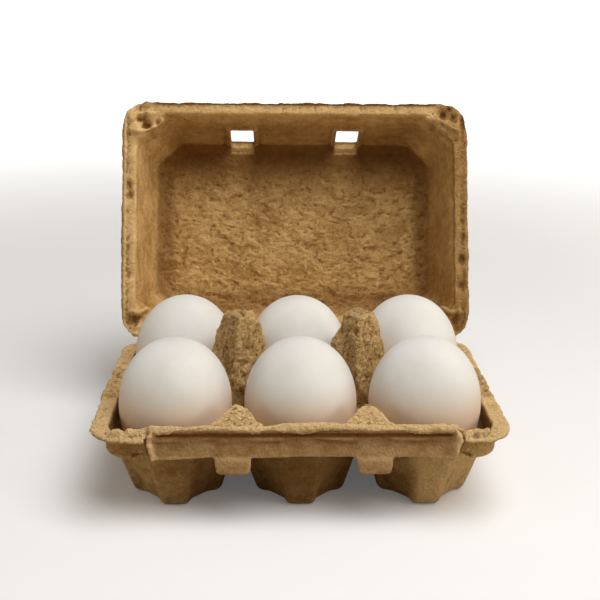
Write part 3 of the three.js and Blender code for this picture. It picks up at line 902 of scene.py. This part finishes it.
def shade_lid(mesh, x, t, s, from_edge, rim, facing_in, lip):
    """Paints shade: darkens the hollow's corners and sides, the torn hem, the frames of the lock holes and
    the pits.
    """
    bottom_shade = 0.5 * ramp(s, 26 * mm, 32 * mm) * ramp(t, 30 * mm, 19 * mm)
    side_shade = 0.62 * ramp(s, 29 * mm, 32 * mm) * ramp(np.abs(x), 56 * mm, 62 * mm)
    top_shade = 0.85 * ramp(s, 29.5 * mm, 31.5 * mm) * ramp(t, 70 * mm, 92 * mm)
    # Painted shade on the downward-facing top wall, and a dark painted line along the top edge
    top_wall_shade = 0.3 * ramp(s, 6 * mm, 16 * mm) * ramp(t, 92 * mm, 95 * mm)
    top_lip_shade = ramp(from_edge, 1.6 * mm, 0.7 * mm) * ramp(t, 104 * mm, 107 * mm)
    top_lip_shade *= ramp(np.abs(x), 70 * mm, 62 * mm)
    hem = 0.6 * ramp(from_edge, 1.3 * mm, 0.4 * mm) * rim
    right_side_shade = ramp(x, 62 * mm, 68 * mm) * (0.3 * ramp(s, 4 * mm, 12 * mm) + 0.45 * rim)
    from_hole = np.abs(np.abs(x) - HOLE_X)
    hole_frame_shade = ramp(from_hole, 3.6 * mm, 5 * mm) * ramp(from_hole, 7.6 * mm, 6.4 * mm)
    hole_frame_shade *= 0.6 * ramp(t, 87 * mm, 89 * mm) * ramp(s, 14 * mm, 17 * mm) * facing_in
    pits = np.zeros(len(s))
    for deep, away in dents(x, t):
        if deep > 2:
            pits = np.maximum(pits, 0.6 * np.exp(-1.6 * away * away) * ramp(s, 12 * mm, 5 * mm))
    painted_shade = np.zeros(len(s))
    for part in (bottom_shade, side_shade, top_shade, top_wall_shade, right_side_shade, hole_frame_shade):
        painted_shade = np.maximum(painted_shade, part * facing_in)
    for part in (top_lip_shade, hem, pits):
        painted_shade = np.maximum(painted_shade, part)
    store(mesh, "painted_shade", painted_shade * (1 - lip))


def make_lid(tree, material):
    work = merged_copy("lid")
    flat = rounded_rim(78.9 * mm, 1.6 * mm, 108.4 * mm, LID_CORNER, 0.7 * mm, 4 * mm)
    lumpy_rope(work, [lid_point(*p) for p in flat], LID_ROPE, lumps=0.6, seed=21, closed=True)
    for index, fold in enumerate(LID_FOLDS):
        points = [lid_point(*(value * mm for value in point)) for point in fold]
        halves = [points[0]]
        for first, second in zip(points, points[1:]):
            halves += [first.lerp(second, 0.5), second]
        lumpy_rope(work, halves, FOLD_ROPE, lumps=1.0, seed=71 + index)
    piece = finish_skin("lid_pulp", work, PULP_VOXEL, smoothing=2)

    mesh = piece.data
    x, t, s = lid_frame(coordinates(mesh))
    off_hole = ramp(np.abs(np.abs(x) - HOLE_X), 9 * mm, 12 * mm)
    off_hole = np.maximum(off_hole, ramp(t, 90 * mm, 88 * mm))
    soften_where(mesh, ramp(s, 0 * mm, 5 * mm) * off_hole, rounds=24)
    press_dents(mesh)

    x, t, s = lid_frame(coordinates(mesh))
    facing_in = ramp(normals_of(mesh) @ INTO_LID, 0.2, -0.2)
    panel = ramp(s, 31.5 * mm, 33.5 * mm)
    rim = ramp(s, 3.5 * mm, 1.5 * mm)
    corner_x = ramp(np.abs(x), 58 * mm, 70 * mm)
    corner_t = np.maximum(ramp(t, 90 * mm, 100 * mm), ramp(t, 15 * mm, 5 * mm))
    corner = corner_x * corner_t * ramp(s, 12 * mm, 3 * mm)
    from_edge = np.minimum(LID_HALF_X - np.abs(x), LID_REACH - t)
    edge = np.maximum(ramp(from_edge, 3 * mm, 1 * mm), ramp(t, 3 * mm, 1.5 * mm))
    groove = ramp(from_edge, 1.2 * mm, 2 * mm) * ramp(from_edge, 4.2 * mm, 3 * mm) * rim * facing_in
    store(mesh, "screened", 0.5 * (1 - rim) * (1 - panel))
    # The lip below each lock hole gets a painted highlight and loses its painted shade
    from_hole = np.abs(np.abs(x) - HOLE_X)
    lip = ramp(from_hole, 6 * mm, 5 * mm) * ramp(t, 91.6 * mm, 92.4 * mm) * ramp(t, 97.5 * mm, 96 * mm)
    lip *= ramp(s, 28.5 * mm, 30.5 * mm)
    shade_lid(mesh, x, t, s, from_edge, rim, facing_in, lip)
    store(mesh, "leathery", panel * facing_in)
    # Painted highlight: the rim is lighter except at its right end, and so is the lip below each lock hole
    store(mesh, "highlight_and_torn", np.maximum(0.6 * rim * facing_in * ramp(x, 70 * mm, 60 * mm), 0.4 * lip))
    wander = 0.55 + 0.45 * np.sin(t / (9 * mm) + 2 * np.sign(x))
    raise_relief(piece, tree, material, {
        "free": 1 + 0 * s,
        "crumpled": np.maximum(0.06 + 0.4 * rim, corner),
        "grainy": np.maximum(0.25 * rim, 0.4 * corner),
        "pebbled": panel * (1 - lip) * (0.3 + 0.7 * ramp(t, 92 * mm, 76 * mm)) * (0.3 + 0.7 * facing_in),
        "torn": np.maximum(edge * rim * 0.35, corner * 0.5),
        "grooved": groove * ramp(np.abs(x), 68 * mm, 72 * mm) * wander,
    }, {
        "Crumple Height": 2.2 * mm,
        "Crumple Size": 6.5 * mm,
        "Pebble Height": 1.6 * mm,
        "Pebble Size": 4.6 * mm,
        "Seed Place": (0.31, 0.17, 0.05),
    })
    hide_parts("lid")
    return piece


# Locking flap

# The curl down each end of the strip: inwards, out and down from the fold's end, mm
CURL_LINE = (
    (0.9, 1.6, -0.2), (-0.2, 2.2, 1.8), (-0.5, 2.1, 3.8),
    (0.1, 2.5, 6.0), (0.5, 2.7, 8.0), (1.6, 3.0, 9.8),
)


def make_flap(tree, material):
    work = merged_copy("locking_flap")
    for end_x, way, seed in ((flap_low.x, 1, 31), (flap_high.x, -1, 35)):
        curl = [
            Vector((end_x + way * inward * mm, FLAP_HINGE.y - out * mm, FLAP_HINGE.z - drop * mm))
            for inward, out, drop in CURL_LINE
        ]
        lumpy_rope(work, curl, CURL_ROPE, lumps=1.6, seed=seed)
    lip_y = FLAP_HINGE.y - 1.5 * mm
    lip_z = FLAP_HINGE.z - 3.6 * mm
    ends = ((flap_low.x + 2 * mm, lip_y, lip_z), (flap_high.x - 2 * mm, lip_y, lip_z))
    lip = wandering_line(*ends, steps=18, stray=0.3 * mm, seed=51)
    lumpy_rope(work, lip, LIP_ROPE, lumps=0.8, seed=52)
    piece = finish_skin("locking_flap_pulp", work, FLAP_VOXEL, smoothing=6)
    mesh = piece.data
    place = coordinates(mesh)

    # The tabs' sides stand nearly upright, with full round corners below
    for tab_x in TABS_X:
        drop = FLAP_HINGE.z - place[:, 2]
        across = place[:, 0] - tab_x
        near = ramp(drop, 9.2 * mm, 10.4 * mm) * ramp(np.abs(across), 10 * mm, 8.5 * mm)
        place[:, 0] += near * across * (0.22 * ramp(drop, 10.6 * mm, 14.5 * mm) - 0.11)

    # The ends of the strip droop a little below its middle
    share = np.clip((FLAP_HINGE.z - place[:, 2]) / (10 * mm), 0, 1)
    left_end = ramp(place[:, 0], flap_low.x + 26 * mm, flap_low.x)
    right_end = 0.6 * ramp(place[:, 0], flap_high.x - 22 * mm, flap_high.x)
    place[:, 2] -= 1.3 * mm * share * np.maximum(left_end, right_end)
    move_to(mesh, place)
    x, z = place[:, 0], place[:, 2]
    drop = FLAP_HINGE.z - z
    ends = np.maximum(ramp(x, flap_high.x - 3 * mm, flap_high.x), ramp(x, flap_low.x + 3 * mm, flap_low.x))
    store(mesh, "screened", 0.1 + 0 * z)
    # Painted shade: the groove under the fold, and the strip darker towards its top except on the hem and the
    # ends. Painted highlight on the hem; the curled ends are lighter torn pulp with painted highlight
    groove = ramp(drop, 3.6 * mm, 2.4 * mm) * ramp(drop, 0.6 * mm, 1.4 * mm)
    hem = ramp(drop, 9 * mm, 10.4 * mm) * ramp(drop, 12 * mm, 11 * mm)
    flap_shade = 0.25 + 0.35 * ramp(drop, 9 * mm, 3 * mm)
    store(mesh, "painted_shade", np.maximum(groove, flap_shade * (1 - 0.7 * hem)) * (1 - ends))
    store(mesh, "highlight_and_torn", np.maximum(ends, 0.4 * hem))
    raise_relief(piece, tree, material, {
        "free": 1 + 0 * z,
        "crumpled": 0.35 + 0.65 * ends,
        "grainy": 0.6 * ends,
        "torn": ends,
    }, {
        "Crumple Height": 0.4 * mm,
        "Wave Height": 0.7 * mm,
        "Wave Size": 20 * mm,
        "Fringe Height": 0.8 * mm,
    })
    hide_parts("locking_flap")
    return piece


# Eggs

def egg_tree():
    """A hen's egg, blunt end up: a sphere stretched to its length and swollen towards one end."""
    tree = bpy.data.node_groups.new("hen_egg", "GeometryNodeTree")
    add_sockets(tree, "INPUT", [
        ("Length", "NodeSocketFloat", 58 * mm),
        ("Radius", "NodeSocketFloat", EGG_RADIUS),
        ("Bluntness", "NodeSocketFloat", EGG_BLUNTNESS),
        ("Unevenness", "NodeSocketFloat", 0.15 * mm),
        ("Lean", "NodeSocketVector", None),
        ("Bottom", "NodeSocketVector", None),
        ("Material", "NodeSocketMaterial", None),
    ])
    add_sockets(tree, "OUTPUT", [("Geometry", "NodeSocketGeometry", None)])
    build = Tree(tree)
    given = build.node("NodeGroupInput").outputs
    ball = build.node("GeometryNodeMeshUVSphere", inputs={"Segments": 96, "Rings": 64, "Radius": 1.0})
    x, y, z = build.node("ShaderNodeSeparateXYZ", inputs={
        "Vector": build.node("GeometryNodeInputPosition").outputs[0],
    }).outputs
    swell = build.math("ADD", 1.0, build.math("MULTIPLY", z, given["Bluntness"]))
    width = build.math("MULTIPLY", given["Radius"], swell)
    tall = build.math("MULTIPLY", build.math("ADD", z, 1.0), build.math("MULTIPLY", given["Length"], 0.5))
    shaped = build.node("ShaderNodeCombineXYZ", inputs={
        "X": build.math("MULTIPLY", x, width),
        "Y": build.math("MULTIPLY", y, width),
        "Z": tall,
    }).outputs[0]
    inputs = {"Geometry": ball.outputs["Mesh"], "Position": shaped}
    egg = build.node("GeometryNodeSetPosition", inputs=inputs)
    own = build.vector("ADD", build.node("GeometryNodeInputPosition").outputs[0], given["Bottom"])
    uneven = build.math("SUBTRACT", build.noise(own, 45, 1.5, 0.5), 0.5)
    offset = build.vector(
        "SCALE",
        build.node("GeometryNodeInputNormal").outputs[0],
        build.math("MULTIPLY", uneven, given["Unevenness"]),
    )
    inputs = {"Geometry": egg.outputs[0], "Offset": offset}
    uneven_egg = build.node("GeometryNodeSetPosition", inputs=inputs)
    set_down = build.node("GeometryNodeTransform", inputs={
        "Geometry": uneven_egg.outputs[0],
        "Translation": given["Bottom"],
        "Rotation": given["Lean"],
    })
    end_dressed(build, set_down.outputs[0], given["Material"])
    return tree


def make_egg(node, tree, material):
    """The egg in the place and at the lean of its solid."""
    low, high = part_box(node)
    row = -1 if "front" in node else 1
    piece = link(f"{node}_shell", bpy.data.meshes.new(node))
    modifier = piece.modifiers.new("egg", "NODES")
    modifier.node_group = tree
    set_inputs(modifier, {
        "Length": high.z - low.z,
        "Radius": EGG_RADIUS,
        "Bluntness": EGG_BLUNTNESS,
        "Lean": (-row * EGG_LEAN, 0.0, 0.0),
        "Bottom": ((low.x + high.x) / 2, TRAY_Y + row * ROW_Y, low.z),
        "Material": material,
    })
    bake(piece)
    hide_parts(node)
    return piece


# Studio

def floor_material():
    """Pale matt paper. It glows towards its far edge, as a sweep with lights of its own behind it does."""
    material, build, shader = new_material("pale_floor")
    seen = build.node("ShaderNodeLightPath").outputs["Is Camera Ray"]
    place = build.node("ShaderNodeTexCoord").outputs["Object"]
    away = build.remap(build.vector("LENGTH", place), FLOOR_GLOW_FROM, FLOOR_GLOW_TO)
    build.feed(shader.inputs["Base Color"], build.mix_colour(seen, FLOOR_BOUNCE, FLOOR_PALE))
    shader.inputs["Roughness"].default_value = 0.95
    shader.inputs["Specular IOR Level"].default_value = 0.1
    shader.inputs["Emission Color"].default_value = (1, 1, 1, 1)
    glow = build.math("ADD", away, FLOOR_LIFT)
    build.feed(shader.inputs["Emission Strength"], build.math("MULTIPLY", seen, glow))
    return material


def add_floor():
    mesh = bpy.data.meshes.new("floor")
    corners = [(x * FLOOR_HALF, y * FLOOR_HALF, 0) for x, y in ((-1, -1), (1, -1), (1, 1), (-1, 1))]
    mesh.from_pydata(corners, [], [(0, 1, 2, 3)])
    mesh.materials.append(floor_material())
    floor = link("floor", mesh)


def add_light(name, place, size, power, colour):
    data = bpy.data.lights.new(name, "AREA")
    data.shape = "RECTANGLE"
    data.size, data.size_y = size
    data.energy = power
    data.color = colour
    light = bpy.data.objects.new(name, data)
    bpy.context.scene.collection.objects.link(light)
    light.location = place
    light.rotation_euler = (Vector(place) - Vector(LIGHTS_TARGET)).to_track_quat("Z", "Y").to_euler()


def add_studio():
    bpy.context.scene.view_settings.view_transform = "Standard"
    world = bpy.data.worlds.new("studio")
    world.use_nodes = True
    build = Tree(world.node_tree)
    seen = build.node("ShaderNodeLightPath").outputs["Is Camera Ray"]
    sky = world.node_tree.nodes["Background"]
    build.feed(sky.inputs["Color"], build.mix_colour(seen, ROOM_TINT, (1.0, 1.0, 1.0)))
    build.feed(sky.inputs["Strength"], build.remap(seen, 0, 1, ROOM_LIGHT, 1))
    bpy.context.scene.world = world
    for light in LIGHTS:
        add_light(*light)


groups = (grain_group(), wear_and_shade_group(), crack_group())
relief = relief_tree()
tray_pulp = pulp_material(
    "tray_pulp", groups, tint=(1.0, 1.0, 1.0), grain_size=1.0, screen=1.0, speckle=0.16, bump=0.9,
)
lid_pulp = pulp_material(
    "lid_pulp", groups, tint=(0.98, 0.96, 0.92), grain_size=0.9, screen=0.6, speckle=0.08, bump=0.55,
)
# The flap's darker, greyer tint is painted shade
flap_pulp = pulp_material(
    "flap_pulp", groups, tint=(0.84, 0.82, 0.9), grain_size=0.85, screen=0.2, speckle=0.08, bump=0.35,
)
eggshell = shell_material()

add_camera()
add_studio()
add_floor()

tray = make_tray(relief, tray_pulp)
lid = make_lid(relief, lid_pulp)
flap = make_flap(relief, flap_pulp)
for piece, body, slot in ((tray, "tray", "pulp"), (lid, "lid", "pulp"), (flap, "flap", "pulp")):
    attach(piece, body)

hen_egg = egg_tree()
for name in EGG_NAMES:
    egg = make_egg(name, hen_egg, eggshell)
    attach(egg, "tray")
